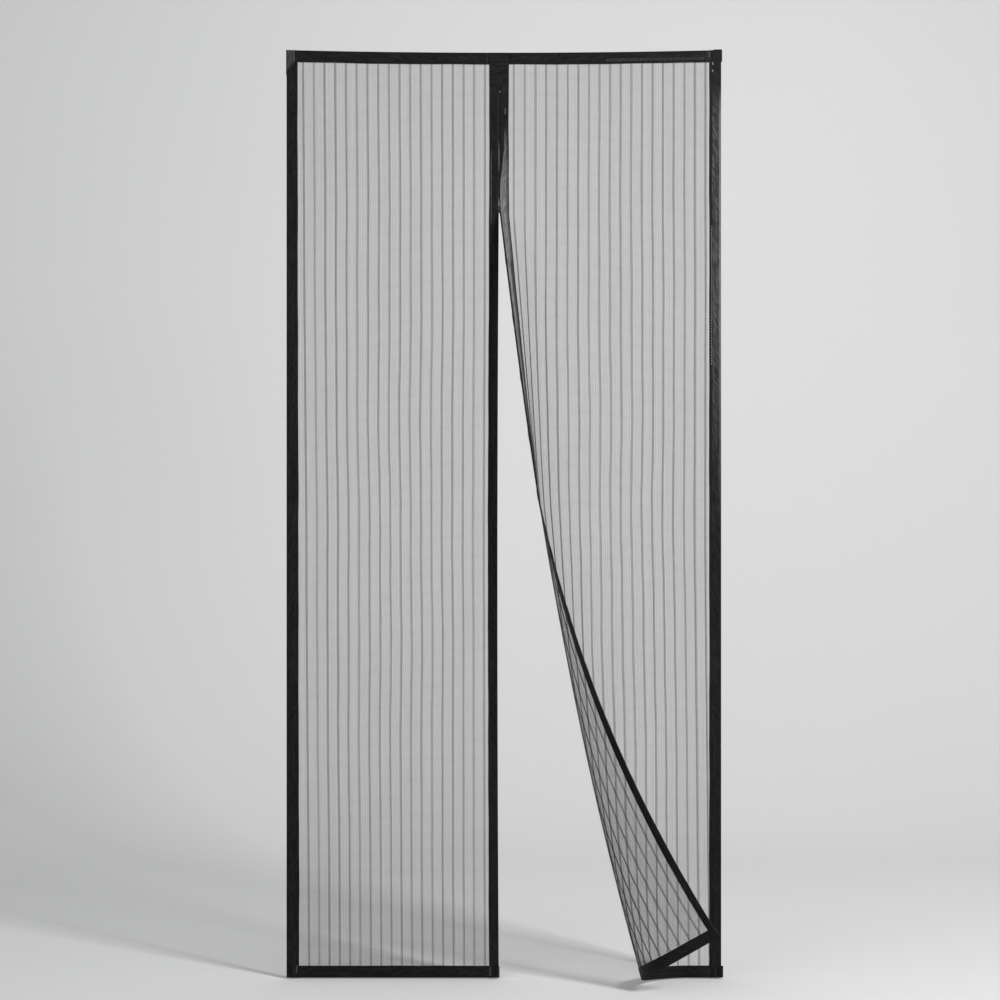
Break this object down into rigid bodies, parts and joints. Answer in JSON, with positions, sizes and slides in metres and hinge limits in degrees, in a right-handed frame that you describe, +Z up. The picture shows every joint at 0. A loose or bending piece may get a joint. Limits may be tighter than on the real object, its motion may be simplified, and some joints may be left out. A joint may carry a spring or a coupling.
{
  "type": "magnetic insect screen",
  "caption": "Hanging doorway insect screen: two striped net leaves bound in ribbon that close on magnets in the middle, one leaf rolled open.",
  "frame": {"origin": "middle of the head hook strip, on the face that sticks to the door", "axes": "+Z up along the slit, +Y into the door behind the screen, +X to the right as seen from the front"},
  "size_m": [0.984, 0.2406, 2.1001],
  "materials": {
    "net": "matt woven mesh with denser stripes",
    "ribbon": "black satin ribbon",
    "loop_pile": "brushed loop pile",
    "hook_tape": "moulded hooks on a woven tape",
    "magnet": "plain ferrite"
  },
  "bodies": {
    "root": {"join_patch": "ribbon", "head_hook_strip": "hook_tape", "left_net": "net", "left_side_tape": "ribbon", "left_head_tape": "ribbon", "left_hem_tape": "ribbon", "left_magnet_tape": "ribbon", "left_head_loop_strip": "loop_pile", "left_side_loop_strip": "loop_pile", "left_side_hook_strip": "hook_tape", "left_magnet_01": "magnet", "left_magnet_02": "magnet", "left_magnet_03": "magnet", "left_magnet_04": "magnet", "left_magnet_05": "magnet", "left_magnet_06": "magnet", "left_magnet_07": "magnet", "left_magnet_08": "magnet", "left_magnet_09": "magnet", "left_magnet_10": "magnet", "left_magnet_11": "magnet", "left_magnet_12": "magnet", "left_magnet_13": "magnet", "left_magnet_14": "magnet", "left_magnet_15": "magnet", "right_net": "net", "right_side_tape": "ribbon", "right_head_tape": "ribbon", "right_hem_tape": "ribbon", "right_magnet_tape": "ribbon", "right_head_loop_strip": "loop_pile", "right_side_loop_strip": "loop_pile", "right_side_hook_strip": "hook_tape", "right_magnet_01": "magnet", "right_magnet_02": "magnet", "right_magnet_03": "magnet", "right_magnet_04": "magnet", "right_magnet_05": "magnet", "right_magnet_06": "magnet", "right_magnet_07": "magnet", "right_magnet_08": "magnet", "right_magnet_09": "magnet", "right_magnet_10": "magnet", "right_magnet_11": "magnet", "right_magnet_12": "magnet", "right_magnet_13": "magnet", "right_magnet_14": "magnet", "right_magnet_15": "magnet"}
  },
  "joints": []
}
